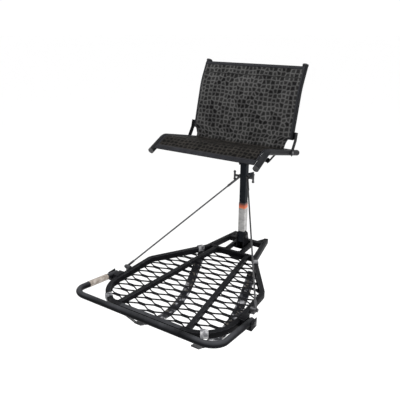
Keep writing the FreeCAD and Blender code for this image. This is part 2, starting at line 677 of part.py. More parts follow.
def make_seat():
    """S-shaped rails on a pivot tube, a middle bar that rests on the yoke, and the sling."""
    radii = [SEAT_LOW_RADIUS, SEAT_CREST_RADIUS]
    line = on_side(seat_line(), SEAT_HALF)
    rail = round_tube(line, radii, X_AXIS, SEAT_TUBE_R, SEAT_WALL)
    solid_rail = round_bar(line, radii, X_AXIS, SEAT_TUBE_R)
    pivot_z = pivot_height()
    rail = rail.cut(cross_rod(SEAT_HALF, SEAT_HALF + SEAT_TUBE_R, BACK_PIVOT_Y, pivot_z, BACK_BOLT_R))
    save("seat_rail_right", rail)
    save("seat_rail_left", mirror(rail))
    pivot = cross_rod(-SEAT_HALF, SEAT_HALF, POST_Y, SEAT_PIVOT_Z, PIVOT_TUBE_R)
    pivot = pivot.cut(cross_rod(-SEAT_HALF, SEAT_HALF, POST_Y, SEAT_PIVOT_Z, PIVOT_TUBE_R - SEAT_WALL))
    pivot = biggest(pivot.cut(solid_rail).cut(mirror(solid_rail)))
    save("seat_pivot_tube", pivot)

    half_bar = SEAT_HALF - 38
    bar = cross_rod(-half_bar, half_bar, SEAT_BAR_Y, SEAT_BAR_Z, SEAT_BAR_R)
    bore = cross_rod(-half_bar, half_bar, SEAT_BAR_Y, SEAT_BAR_Z, SEAT_BAR_R - SEAT_WALL)
    save("seat_middle_bar", bar.cut(bore))
    (y0, z0), (y1, z1) = seat_line()[1:3]
    over = z0 + (z1 - z0) * (SEAT_BAR_Y - y0) / (y1 - y0)
    low = V(half_bar - 3, SEAT_BAR_Y, SEAT_BAR_Z - SEAT_BAR_R - 1)
    high = V(SEAT_HALF - 2, SEAT_BAR_Y, over)
    tab = flat_bar([low, high], [], V(0, 1, 0), TAB_THICKNESS, TAB_WIDTH)
    tab = biggest(tab.cut(solid_rail).cut(cross_rod(0, half_bar, SEAT_BAR_Y, SEAT_BAR_Z, SEAT_BAR_R)))
    save("seat_bar_tabs", tab, mirror(tab))

    caps = []
    for tip, before in ((seat_line()[-1], seat_line()[-2]), (seat_line()[0], seat_line()[1])):
        out = toward(tip, before, -2.5)
        deep = toward(tip, before, 8)
        start, end, inner = on_side([tip, out, deep], SEAT_HALF)
        cap = rod(start, end, SEAT_TUBE_R).fuse(rod(start, inner, SEAT_TUBE_R - SEAT_WALL)).removeSplitter()
        caps += [cap, mirror(cap)]
    save("seat_rail_caps", *caps)

    lifted = shift(seat_line(), -FABRIC_LIFT)
    corner = sling_corner()
    start = toward(corner, lifted[1], 4)
    end = toward(lifted[3], lifted[2], FABRIC_LIP_INSET)
    path = on_side([start, lifted[1], lifted[2], end], 0)
    bends = [SEAT_LOW_RADIUS - FABRIC_LIFT, SEAT_CREST_RADIUS + FABRIC_LIFT]
    save("seat_sling", flat_bar(path, bends, X_AXIS, FABRIC, 2 * sling_half(SEAT_HALF)))

    face = SEAT_HALF + SEAT_TUBE_R + SIDE_GAP + BACK_PLATE + REST_GAP
    head = face + bolt_height(BACK_BOLT_R, washer=False)
    hinge = bolt(head, SEAT_HALF - 6, BACK_PIVOT_Y, pivot_z, BACK_BOLT_R, washer=False)
    save("back_pivot_bolts", hinge, mirror(hinge))


def make_yoke():
    """Two plates on the post that carry the seat's pivot tube and its middle bar."""
    arm_top = SEAT_BAR_Z - SEAT_BAR_R - REST_GAP
    front = SEAT_BAR_Y - 18
    bottom = YOKE_BOLT_Z[0] - 26
    rear = POST_Y + 22
    over = SEAT_PIVOT_Z + 20
    outline = [(rear, bottom + 8), (rear - 8, bottom), (POST_Y - 18, bottom), (POST_Y - 34, bottom + 40)]
    outline += [(front + 6, arm_top - 16), (front, arm_top - 10), (front, arm_top)]
    outline += [(SEAT_BAR_Y + 40, arm_top), (POST_Y - 30, over - 15), (POST_Y - 15, over)]
    outline += [(POST_Y + 12, over), (rear, over - 10)]
    plate = side_plate(outline, POST_HALF, POST_HALF + YOKE_THICKNESS)
    plate = plate.cut(cross_rod(0, 40, POST_Y, SEAT_PIVOT_Z, PIVOT_TUBE_R + RUNNING))
    for z in YOKE_BOLT_Z:
        plate = plate.cut(cross_rod(0, 40, POST_Y, z, YOKE_BOLT_R))
    save("seat_yoke", plate, mirror(plate))
    outside = POST_HALF + YOKE_THICKNESS
    head = outside + bolt_height(YOKE_BOLT_R)
    save("yoke_bolts", *[bolt(head, -outside - 9, POST_Y, z, YOKE_BOLT_R) for z in YOKE_BOLT_Z])
    save("yoke_nuts", *[nut(-outside - 6.5, -outside, POST_Y, z, YOKE_BOLT_R) for z in YOKE_BOLT_Z])


def make_backrest():
    """Rails bent back near the top on outer hinge plates, two cross bars and the sling's upper half."""
    foot, bend, top = back_line()
    line = on_side(back_line(), BACK_HALF)
    rail = round_tube(line, [BACK_RADIUS], X_AXIS, SEAT_TUBE_R, SEAT_WALL)
    solid_rail = round_bar(line, [BACK_RADIUS], X_AXIS, SEAT_TUBE_R)
    save("back_rail_right", rail)
    save("back_rail_left", mirror(rail))

    pivot = (BACK_PIVOT_Y, pivot_height())
    knee = toward(foot, bend, 34)
    slant = shift([pivot, foot, knee], 13)
    back = shift([pivot, foot, knee], -13)
    outline = [toward(slant[0], slant[1], -12)] + slant[1:] + list(reversed(back[1:]))
    outline += [toward(back[0], back[1], -12)]
    inner = SEAT_HALF + SEAT_TUBE_R + SIDE_GAP
    plate = side_plate(outline, inner, inner + BACK_PLATE)
    weld = [toward(foot, bend, 2), knee]
    boss = side_plate(shift(weld, 7) + list(reversed(shift(weld, -7))), BACK_HALF, inner)
    plate = plate.fuse(boss.cut(solid_rail)).removeSplitter()
    plate = plate.cut(cross_rod(inner - 1, inner + 9, pivot[0], pivot[1], BACK_BOLT_R + RUNNING))
    save("back_hinge_plates", biggest(plate), mirror(biggest(plate)))

    dropped = shift(back_line(), -BACK_BAR_DROP)
    for name, place in (("back_top_bar", toward(dropped[2], dropped[1], 10)),
                        ("back_lower_bar", toward(dropped[0], dropped[1], 34))):
        bar = cross_rod(-BACK_HALF, BACK_HALF, place[0], place[1], BACK_BAR_R)
        bar = bar.cut(cross_rod(-BACK_HALF, BACK_HALF, place[0], place[1], BACK_BAR_R - SEAT_WALL))
        save(name, biggest(bar.cut(solid_rail).cut(mirror(solid_rail))))

    start, end, inner_end = on_side([top, toward(top, bend, -4), toward(top, bend, 8)], BACK_HALF)
    plug = rod(start, inner_end, SEAT_TUBE_R - SEAT_WALL)
    cap = rod(start, end, SEAT_TUBE_R + 1).fuse(plug).removeSplitter()
    save("back_rail_caps", cap, mirror(cap))

    lifted = shift(back_line(), FABRIC_LIFT)
    corner = sling_corner()
    low = toward(corner, lifted[1], BACK_FABRIC_START + 8)
    high = toward(lifted[2], lifted[1], BACK_FABRIC_END)
    path = on_side([low, lifted[1], high], 0)
    save("back_sling", flat_bar(path, [BACK_RADIUS + FABRIC_LIFT], X_AXIS, FABRIC, 2 * sling_half(BACK_HALF)))


def strap_loop(start, end, slab, space):
    """Webbing round a rail, open where the grate meets the rail."""
    out = space + WEBBING_THICKNESS
    loop = flat_bar([start, end], [], Z_AXIS, RAIL_WIDTH + 2 * out, RAIL_HEIGHT + 2 * out)
    loop = loop.cut(flat_bar([start, end], [], Z_AXIS, RAIL_WIDTH + 2 * space, RAIL_HEIGHT + 2 * space))
    return biggest(loop.cut(slab))


def ribbon(start, end, width, thickness):
    """A straight flat strap between two points, its width close to level."""
    along = (end - start).normalize()
    return flat_bar([start, end], [], along.cross(X_AXIS).normalize(), width, thickness)


def ribbon_rise(along):
    """How far a webbing ribbon's end stands above its centre."""
    along.normalize()
    thin = along.cross(X_AXIS).normalize()
    wide = along.cross(thin)
    return (WEBBING_WIDTH * abs(wide.z) + WEBBING_THICKNESS * abs(thin.z)) / 2


def make_straps(slab):
    """Shoulder straps for carrying the folded stand, hung under the platform."""
    corner = side_rail_points()
    kink, bend = V(*corner[0], RAIL_Z), V(*corner[1], RAIL_Z)
    along = (bend - kink).normalize()
    middle = kink + along * ((kink.y - LOOP_REAR_Y) / -along.y)
    half = WEBBING_WIDTH / 2
    rear = strap_loop(middle - along * half, middle + along * half, slab, SOFT_GAP)
    turn = math.asin((LOOP_X - corner_start(corner)) / CORNER_RADIUS)
    front_y = corner[-1][1] + CORNER_RADIUS * (1 - math.cos(turn))
    tangent = V(math.cos(turn), math.sin(turn), 0)
    hold = V(LOOP_X, front_y, RAIL_Z)
    sag = half ** 2 / 2 / (CORNER_RADIUS - RAIL_WIDTH / 2)
    front = strap_loop(hold - tangent * half, hold + tangent * half, slab, sag + SOFT_GAP)
    save("strap_loops_rear", rear, mirror(rear))
    save("strap_loops_front", front, mirror(front))

    line = on_side(STRAP_LINE, STRAP_X)
    strap = flat_bar(line, [40] * (len(line) - 2), X_AXIS, STRAP_THICKNESS, STRAP_WIDTH)
    save("shoulder_strap_right", strap)
    save("shoulder_strap_left", mirror(strap))

    under = -RAIL_HEIGHT - 3 * SOFT_GAP - WEBBING_THICKNESS
    hang = V(middle.x, middle.y, under)
    hang.z -= ribbon_rise(line[0] - hang)
    drop = (line[0] - hang).normalize()
    rear_web = ribbon(hang, line[0] - drop * WEBBING_SETBACK, WEBBING_WIDTH, WEBBING_THICKNESS)
    way = (line[-1] - line[-2]).normalize()
    buckle_start = line[-1] + way * SOFT_GAP
    buckle_end = buckle_start + way * BUCKLE[1]
    buckle = ribbon(buckle_start, buckle_end, BUCKLE[0], BUCKLE[2])
    knot = V(LOOP_X, front_y, under - sag)
    knot.z -= ribbon_rise(knot - buckle_end)
    lead = (knot - buckle_end).normalize()
    front_web = ribbon(buckle_end + lead * BUCKLE_SETBACK, knot, WEBBING_WIDTH, WEBBING_THICKNESS)
    save("strap_webbing_rear", rear_web, mirror(rear_web))
    save("strap_webbing_front", front_web, mirror(front_web))
    save("strap_buckles", buckle, mirror(buckle))


os.makedirs("parts", exist_ok=True)
make_post()
make_hooks()
make_cables()
make_hinge()
frame_solids = make_platform_frame()
grate_slab = make_grate(frame_solids)
make_footrest(frame_solids)
make_yoke()
make_seat()
make_backrest()
make_straps(grate_slab)
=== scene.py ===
"""Hang-on tree stand: post, cable-hung platform, sling seat with a backrest, swing-out footrest."""
import math
import random

import bmesh
import bpy
from mathutils import Matrix, Vector


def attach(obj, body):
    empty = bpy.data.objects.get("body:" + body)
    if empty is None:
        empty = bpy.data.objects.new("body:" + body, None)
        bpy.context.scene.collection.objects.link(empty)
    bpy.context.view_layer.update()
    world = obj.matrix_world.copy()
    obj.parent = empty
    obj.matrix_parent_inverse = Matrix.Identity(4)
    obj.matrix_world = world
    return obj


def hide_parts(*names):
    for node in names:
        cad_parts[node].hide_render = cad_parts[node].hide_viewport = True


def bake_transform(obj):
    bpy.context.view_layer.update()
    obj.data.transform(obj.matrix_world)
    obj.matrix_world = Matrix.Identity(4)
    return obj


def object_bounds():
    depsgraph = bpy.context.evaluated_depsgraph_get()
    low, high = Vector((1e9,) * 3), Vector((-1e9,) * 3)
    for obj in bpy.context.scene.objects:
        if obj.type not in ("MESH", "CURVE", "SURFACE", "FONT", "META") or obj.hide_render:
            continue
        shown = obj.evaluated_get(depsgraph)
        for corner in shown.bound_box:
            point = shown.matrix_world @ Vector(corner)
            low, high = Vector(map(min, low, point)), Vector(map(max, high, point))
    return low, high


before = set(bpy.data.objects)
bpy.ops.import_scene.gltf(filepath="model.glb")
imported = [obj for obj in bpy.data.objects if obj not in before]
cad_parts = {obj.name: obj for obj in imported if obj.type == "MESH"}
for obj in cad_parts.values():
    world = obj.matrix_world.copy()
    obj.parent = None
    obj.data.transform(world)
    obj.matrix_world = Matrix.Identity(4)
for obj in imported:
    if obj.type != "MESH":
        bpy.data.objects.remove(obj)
cad_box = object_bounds()


# ---------------------------------------------------------------- camera, floor and light
# The stand is looked at from the sitter's front left and from above. It hangs in a pale
# studio: one wide floor, a big soft lamp overhead, a weaker one by the camera, a bright sky.
eye = Vector((1.0089, -2.0393, 1.0761))
turned, tilted = math.radians(32.4), math.radians(20.86)
level = Vector((-math.sin(turned), math.cos(turned), 0.0))
looking = level * math.cos(tilted) - Vector((0.0, 0.0, math.sin(tilted)))
camera = bpy.data.objects.new("camera", bpy.data.cameras.new("camera"))
camera.data.lens = 43.43
camera.data.sensor_width = 36.0
camera.data.clip_end = 200.0
camera.location = eye
camera.rotation_mode = "QUATERNION"
camera.rotation_quaternion = looking.to_track_quat("-Z", "Y")
bpy.context.collection.objects.link(camera)
bpy.context.scene.camera = camera
bpy.context.scene.view_settings.view_transform = "Standard"


def lamp(name, place, aim, size, power):
    """A square soft lamp turned towards a point."""
    light = bpy.data.lights.new(name, "AREA")
    light.shape = "SQUARE"
    light.size = size
    light.energy = power
    made = bpy.data.objects.new(name, light)
    made.location = place
    made.rotation_mode = "QUATERNION"
    made.rotation_quaternion = (Vector(aim) - Vector(place)).to_track_quat("-Z", "Y")
    bpy.context.collection.objects.link(made)


lamp("lamp_over", (-0.6, -0.9, 3.0), (0.0, -0.3, 0.2), 1.4, 60.0)
lamp("lamp_camera", (2.4, -2.9, 1.2), (0.0, -0.3, 0.3), 1.2, 55.0)
lamp("lamp_side", (2.9, 0.1, 1.0), (0.0, -0.3, 0.5), 0.9, 45.0)

sky = bpy.data.worlds.new("studio")
sky.use_nodes = True
sky.node_tree.nodes["Background"].inputs["Color"].default_value = (1.0, 1.0, 1.0, 1.0)
sky.node_tree.nodes["Background"].inputs["Strength"].default_value = 1.03
bpy.context.scene.world = sky


class Value:
    """A shader socket that works in sums: each operation adds its Math node."""

    def __init__(self, finish, socket):
        self.finish = finish
        self.socket = socket

    def math(self, operation, first, second):
        return self.finish.node("Math", {"operation": operation}, {0: first, 1: second})

    def __add__(self, other):
        return self.math("ADD", self, other)

    __radd__ = __add__

    def __sub__(self, other):
        return self.math("SUBTRACT", self, other)

    def __rsub__(self, other):
        return self.math("SUBTRACT", other, self)

    def __mul__(self, other):
        return self.math("MULTIPLY", self, other)

    __rmul__ = __mul__

    def __gt__(self, other):
        return self.math("GREATER_THAN", self, other)

    def __lt__(self, other):
        return self.math("LESS_THAN", self, other)

    def __abs__(self):
        return self.math("ABSOLUTE", self, 0.0)


class Finish:
    """One material: it makes nodes and feeds them to its shader."""

    def __init__(self, name):
        self.material = bpy.data.materials.new(name)
        self.material.use_nodes = True
        self.tree = self.material.node_tree
        self.shader = self.tree.nodes["Principled BSDF"]

    def node(self, kind, settings=None, inputs=None, out=0):
        """Adds a node; settings come first, then values or links for its sockets."""
        made = self.tree.nodes.new("ShaderNode" + kind)
        for key, value in (settings or {}).items():
            if key == "stops":
                ramp = made.color_ramp
                while len(ramp.elements) < len(value):
                    ramp.elements.new(0.5)
                for element, (position, colour) in zip(ramp.elements, value):
                    element.position = position
                    element.color = (*colour, 1.0)
            else:
                setattr(made, key, value)
        for key, value in (inputs or {}).items():
            self.feed(made.inputs[key], value)
        return Value(self, made.outputs[out])

    def feed(self, socket, value):
        """Links a value to a socket, or sets a constant on it."""
        if isinstance(value, Value):
            self.tree.links.new(value.socket, socket)
        elif socket.type == "RGBA" and len(value) == 3:
            socket.default_value = (*value, 1.0)
        else:
            socket.default_value = value

    def place(self, stretch=(1.0, 1.0, 1.0), source="Object"):
        """Where a point is on the piece, stretched for patterns that aren't even."""
        spot = self.node("TexCoord", out=source)
        return self.node("Mapping", inputs={"Vector": spot, "Scale": stretch})

    def noise(self, where, scale, detail=3.0, rough=0.55):
        """Cloudy noise from 0 to 1 with this many lumps in a metre."""
        return self.node("TexNoise", None,
                         {"Vector": where, "Scale": scale, "Detail": detail, "Roughness": rough})

    def stripes(self, where, direction, scale, distortion=0.0):
        """Even bands from 0 to 1, as of yarns or strands."""
        return self.node("TexWave", {"wave_type": "BANDS", "bands_direction": direction},
                         {"Vector": where, "Scale": scale, "Distortion": distortion})

    def measure(self, where, axis):
        """One coordinate of a place or a direction: 0 is x, 1 is y and 2 is z."""
        return self.node("SeparateXYZ", None, {0: where}, out=axis)

    def ramp(self, factor, stops):
        """A colour for each stretch of a value."""
        return self.node("ValToRGB", {"stops": stops}, {"Fac": factor})

    def rise(self, factor, low, high):
        """0 below low, 1 above high."""
        return self.node("MapRange", None, {"Value": factor, "From Min": low, "From Max": high})

    def mix(self, factor, below, above):
        """Two colours mixed."""
        return self.node("Mix", {"data_type": "RGBA"}, {0: factor, 6: below, 7: above}, out=2)

    def set(self, **sockets):
        """Feeds the shader; Base_Color stands for Base Color."""
        for key, value in sockets.items():
            self.feed(self.shader.inputs[key.replace("_", " ")], value)

    def bump(self, height, depth, strength=1.0):
        """Small relief, depth in metres."""
        relief = self.node("Bump", None, {"Height": height, "Distance": depth, "Strength": strength})
        self.set(Normal=relief)


floor_drop, floor_reach = 1.80, 90.0
floor_paint = Finish("floor_paint")
floor_paint.set(Base_Color=(0.97, 0.97, 0.97), Roughness=0.85)
floor_shape = bmesh.new()
bmesh.ops.create_circle(floor_shape, cap_ends=True, segments=64, radius=floor_reach,
                        matrix=Matrix.Translation((0.0, 0.0, cad_box[0].z - floor_drop)))
floor_mesh = bpy.data.meshes.new("floor")
floor_shape.to_mesh(floor_mesh)
floor_shape.free()
floor_mesh.materials.append(floor_paint.material)
floor = bpy.data.objects.new("floor", floor_mesh)
bpy.context.collection.objects.link(floor)


# ---------------------------------------------------------------- the two hanging cables
# Wire rope, 7.5 mm over its black plastic coat, taut from the post's hook rod down to a lug on
# each side rail. Each end is pressed into a ferrule, so it leaves in a straight line.
sides = (-1, 1)
cable_thick = 0.0075
cable_top = Vector((0.018875, -0.054, 0.352))
cable_low = Vector((0.329006, -0.560, 0.0))
eye_reach = 0.014
strand_count, lay_length, cable_cuts = 6, 0.012, 72


def finished(name, shape, paint, body, smooth=35.0, replaced=()):
    """Turns a bmesh into a piece of the stand that rides on a body."""
    mesh = bpy.data.meshes.new(name)
    shape.to_mesh(mesh)
    shape.free()
    mesh.materials.clear()
    mesh.materials.append(paint.material)
    mesh.polygons.foreach_set("material_index", [0] * len(mesh.polygons))
    mesh.polygons.foreach_set("use_smooth", [True] * len(mesh.polygons))
    mesh.set_sharp_from_angle(angle=math.radians(smooth))
    made = bpy.data.objects.new(name, mesh)
    bpy.context.collection.objects.link(made)
    if body:
        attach(made, body)
    if replaced:
        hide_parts(*replaced)
    return made


cable_coat = Finish("cable_coat")
lay = cable_coat.stripes(cable_coat.place(source="UV"), "DIAGONAL", 1.9)
scuff = cable_coat.noise(cable_coat.place(), 60.0, 4.0)
blacks = cable_coat.ramp(scuff, [(0.35, (0.016, 0.016, 0.018)), (0.75, (0.036, 0.036, 0.039))])
cable_coat.set(Base_Color=blacks, Roughness=scuff * 0.25 + 0.32)
cable_coat.bump(lay, 0.0004, 0.7)

for side, name in zip(sides, ("left", "right")):
    top = Vector((side * cable_top.x, cable_top.y, cable_top.z))
    low = Vector((side * cable_low.x, cable_low.y, cable_low.z))
    way = (low - top).normalized()
    start, end = top + way * eye_reach, low - way * eye_reach
    turn = way.to_track_quat("Z", "Y").to_matrix().to_4x4()
    shape = bmesh.new()
    bmesh.ops.create_cone(shape, segments=12, radius1=cable_thick / 2, radius2=cable_thick / 2,
                          depth=(end - start).length, cap_ends=True, calc_uvs=False)
    long_edges = [e for e in shape.edges if abs(e.verts[0].co.z - e.verts[1].co.z) > 0.1]
    bmesh.ops.subdivide_edges(shape, edges=long_edges, cuts=cable_cuts, use_grid_fill=True)
    wrap = shape.loops.layers.uv.new("UVMap")
    for face in shape.faces:
        for loop in face.loops:
            angle = math.atan2(loop.vert.co.y, loop.vert.co.x) / math.tau
            loop[wrap].uv = (angle * strand_count, loop.vert.co.z / lay_length)
    bmesh.ops.transform(shape, matrix=Matrix.Translation((start + end) / 2) @ turn, verts=shape.verts)
    cable = finished("hanging_cable_" + name, shape, cable_coat, None,
                     replaced=("cable_" + name,))
    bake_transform(cable)


# ---------------------------------------------------------------- the post and its brace
# Square steel tube, powder coated charcoal, with a moulded cap on top. A bent steel brace
# with bitten-out ends is welded to its back and grips the bark.
merge_reach = 0.00001
thin_rim = 0.0028
# Pale grey that the powder coats paint onto upward faces as a highlight.
painted_highlight_grey = (0.105, 0.108, 0.118)


def powder_coat(name, deep, pale, edge_wear_and_highlight, highlight_strength=0.06):
    """Baked powder paint: faint orange peel, rubbed edges that are paler partly as a painted highlight,
    and a painted highlight in cloudy patches on what faces up.
    """
    coat = Finish(name)
    spot = coat.place()
    cloud = coat.noise(spot, 7.0, 5.0)
    grain = coat.noise(spot, 240.0, 3.0)
    chips = coat.noise(spot, 85.0, 6.0, 0.7)
    # Rubbed edges are painted paler: partly real wear, partly a painted highlight.
    rubbed = coat.node("Attribute", {"attribute_name": "wear"}, out="Fac") * coat.rise(chips, 0.42, 0.66)
    paint = coat.ramp(cloud * 0.7 + grain * 0.3, [(0.30, deep), (0.72, pale)])
    upward = coat.measure(coat.node("TexCoord", out="Normal"), 2)
    # Upward faces are painted paler in cloudy patches: a painted highlight.
    painted_highlight_mask = coat.rise(upward, 0.35, 0.95) * coat.rise(cloud, 0.30, 0.60) * highlight_strength
    paint = coat.mix(painted_highlight_mask, paint, painted_highlight_grey)
    coat.set(Base_Color=coat.mix(rubbed * 0.75, paint, edge_wear_and_highlight), Specular_IOR_Level=0.03,
             Roughness=grain * 0.22 + 0.30 + rubbed * 0.08)
    coat.bump(coat.noise(spot, 900.0, 2.0) * 0.6 + chips * 0.4, 0.00022, 0.8)
    return coat


frame_coat = powder_coat("frame_coat", (0.0018, 0.0019, 0.0023), (0.0070, 0.0072, 0.0083),
                         (0.055, 0.056, 0.061))
post_coat = powder_coat("post_coat", (0.0050, 0.0058, 0.0076), (0.0150, 0.0170, 0.0210),
                        (0.060, 0.063, 0.070))


def is_thin(face):
    """A rim as narrow as a tube's wall."""
    return face.calc_area() / max(edge.calc_length() for edge in face.edges) < thin_rim


def eased(node, body, paint, width):
    """The piece with its long sharp edges rounded; the rounded faces are marked for paler edges: wear,
    and on the powder coats partly a painted highlight.
    """
    shape = bmesh.new()
    shape.from_mesh(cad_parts[node].data)
    bmesh.ops.remove_doubles(shape, verts=shape.verts, dist=merge_reach)
    bmesh.ops.dissolve_limit(shape, angle_limit=math.radians(0.6), verts=shape.verts,
                             edges=shape.edges, delimit=set())
    wear = shape.faces.layers.float.new("wear")
    sharp = [edge for edge in shape.edges if edge.is_manifold
             and edge.calc_face_angle_signed(0.0) > math.radians(38)
             and not any(is_thin(face) for face in edge.link_faces)]
    made = bmesh.ops.bevel(shape, geom=sharp, offset=width, offset_type="OFFSET", segments=3,
                           profile=0.5, affect="EDGES", clamp_overlap=True, material=-1)
    for face in made["faces"]:
        face[wear] = 1.0
    finished(node + "_eased", shape, paint, body, replaced=(node,))


eased("post_tube", "post", post_coat, 0.0012)
eased("tree_brace", "post", post_coat, 0.0008)


def moulded(name, deep, pale):
    """Black moulded plastic with a fine spark-eroded grain."""
    skin = Finish(name)
    spot = skin.place()
    cloud = skin.noise(spot, 30.0, 4.0)
    colour = skin.ramp(cloud, [(0.3, deep), (0.75, pale)])
    skin.set(Base_Color=colour, Roughness=cloud * 0.2 + 0.42)
    skin.bump(skin.noise(spot, 1500.0, 2.0), 0.00012, 0.9)
    return skin


black_plastic = moulded("black_plastic", (0.008, 0.008, 0.009), (0.020, 0.020, 0.022))
eased("post_cap", "post", black_plastic, 0.0022)


# ---------------------------------------------------------------- the film on the post
# A thin pale film stuck round the post above the platform, left blank: faint grey clouds,
# an orange band that fades to brown along its top.
orange_from, orange_to = 0.190, 0.216
film = Finish("post_film")
spot = film.place()
height = film.measure(spot, 2)
smudge = film.noise(film.place((1.0, 1.0, 2.6)), 24.0, 5.0)
clouds = film.ramp(smudge, [(0.32, (0.175, 0.175, 0.172)), (0.62, (0.345, 0.340, 0.333))])
band = film.ramp(film.rise(height, orange_from, orange_to),
                 [(0.0, (0.56, 0.15, 0.05)), (0.4, (0.40, 0.075, 0.025)), (1.0, (0.035, 0.012, 0.010))])
film.set(Base_Color=film.mix(height > orange_from + 0.0005, clouds, band),
         Roughness=smudge * 0.2 + 0.3)
film.bump(film.noise(spot, 320.0, 2.0), 0.00006, 0.6)
eased("post_wrap", "post", film, 0.0005)


# ---------------------------------------------------------------- hook rod, eyes and hardware
# Blackened steel: the rod through the post with its upright strap hooks, pressed cable
# eyes, and all bolts and nuts, whose hexagons are chamfered as forged ones are.
def steel(name, deep, pale, metal):
    """Blackened zinc plate, slightly cloudy, bright where it is rubbed."""
    plate = Finish(name)
    spot = plate.place()
    cloud = plate.noise(spot, 120.0, 4.0)
    rubbed = plate.node("Attribute", {"attribute_name": "wear"}, out="Fac")
    colour = plate.ramp(cloud, [(0.3, deep), (0.7, pale)])
    plate.set(Base_Color=plate.mix(rubbed * cloud * 0.8, colour, (0.22, 0.22, 0.23)),
              Metallic=metal, Roughness=cloud * 0.25 + 0.30)
    plate.bump(plate.noise(spot, 700.0, 2.0), 0.00008, 0.6)
    return plate


black_steel = steel("black_steel", (0.030, 0.030, 0.032), (0.070, 0.070, 0.074), 0.7)
pressed_sleeve = steel("pressed_sleeve", (0.018, 0.018, 0.020), (0.045, 0.045, 0.048), 0.35)
for node, body in (("strap_hook_rod", "post"), ("hook_collars", "post"), ("hinge_bolt", "post"),
                   ("hinge_nut", "post"), ("yoke_bolts", "post"), ("yoke_nuts", "post"),
                   ("footrest_bolts", "platform"), ("back_pivot_bolts", "seat"),
                   ("cable_lugs", "platform")):
    eased(node, body, black_steel, 0.0007)
for node, body in (("cable_eyes_upper", "post"), ("cable_eyes_lower", "platform")):
    eased(node, body, pressed_sleeve, 0.0008)


# ---------------------------------------------------------------- platform frame
# Rectangular steel tubes, bent and coped, welded into a leaf-shaped frame with two long
# struts, two short ones at the rear and a V that takes the trunk. The front rail's top gets a stronger
# painted highlight.
# The coat for the front rail and the footrest, with a stronger painted highlight on top.
top_highlit_coat = powder_coat("top_highlit_coat", (0.0020, 0.0021, 0.0026), (0.0076, 0.0079, 0.0092),
                           (0.055, 0.056, 0.061), highlight_strength=0.34)
eased("front_rail", "platform", top_highlit_coat, 0.0026)
for node in ("side_rail_left", "side_rail_right", "rear_rail_left", "rear_rail_right",
             "rear_crossbar", "front_crossbar", "vee_left", "vee_right", "short_strut_left",
             "short_strut_right", "inner_strut_left", "inner_strut_right"):
    eased(node, "platform", frame_coat, 0.0026)
for node in ("hinge_ears", "hinge_base", "footrest_bracket_left", "footrest_bracket_right"):
    eased(node, "platform", frame_coat, 0.0010)


# ---------------------------------------------------------------- weld beads
# Short MIG beads, laid as overlapping round puddles where one tube meets another, painted
# over with the frame.
random.seed(7)
bead_thick, ring_thick, ring_step = 0.0022, 0.0021, 0.0024
bead_smooth = 60.0
platform_welds = (
    ((0.1569, -0.7996, 0.0), (0.1765, -0.7996, 0.0)),
    ((0.1569, -0.7996, 0.0), (0.1569, -0.7996, -0.019)),
    ((0.1768, -0.7996, 0.0), (0.1768, -0.7996, -0.019)),
    ((0.0770, -0.1644, 0.0), (0.0968, -0.1644, 0.0)),
    ((0.0770, -0.1644, 0.0), (0.0770, -0.1644, -0.018)),
    ((0.0300, -0.0150, 0.0), (0.0500, -0.0150, 0.0)),
    ((0.0300, -0.1480, 0.0), (0.0500, -0.1480, 0.0)),
    ((0.0300, -0.0150, 0.0), (0.0300, -0.0150, -0.018)),
    ((0.0500, -0.0150, 0.0), (0.0500, -0.0150, -0.018)),
    ((0.0965, -0.0145, 0.0), (0.0930, 0.0085, 0.0)),
    ((0.3026, -0.6515, 0.0), (0.3026, -0.6105, 0.0)),
    ((0.1195, -0.1635, 0.0), (0.1195, -0.1485, 0.0)))


def puddle(shape, here, size):
    """One round puddle of weld metal."""
    made = bmesh.ops.create_icosphere(shape, subdivisions=1, radius=size)
    bmesh.ops.translate(shape, vec=here, verts=made["verts"])


def bead(shape, first, last):
    """A row of overlapping puddles from one point to the other."""
    count = max(2, round((last - first).length / (bead_thick * 0.85)))
    for number in range(count + 1):
        puddle(shape, first.lerp(last, number / count), bead_thick * random.uniform(0.9, 1.12))


beads = bmesh.new()
for side in sides:
    for first, last in platform_welds:
        bead(beads, Vector((side * first[0], *first[1:])), Vector((side * last[0], *last[1:])))
finished("platform_weld_beads", beads, frame_coat, "platform", bead_smooth)


def ring_bead(shape, x, y, z, around):
    """A bead all round a cross tube where it meets a rail."""
    count = round(math.tau * around / ring_step)
    for number in range(count):
        angle = number / count * math.tau
        here = (x, y + around * math.cos(angle), z + around * math.sin(angle))
        puddle(shape, here, ring_thick * random.uniform(0.9, 1.1))


beads = bmesh.new()
for side in sides:
    ring_bead(beads, side * 0.2374, -0.050, 0.507, 0.0120)
finished("seat_weld_beads", beads, frame_coat, "seat", bead_smooth)
beads = bmesh.new()
for side in sides:
    ring_bead(beads, side * 0.2302, 0.0190, 0.8644, 0.0095)
    ring_bead(beads, side * 0.2302, -0.0807, 0.6043, 0.0095)
finished("back_weld_beads", beads, frame_coat, "back", bead_smooth)


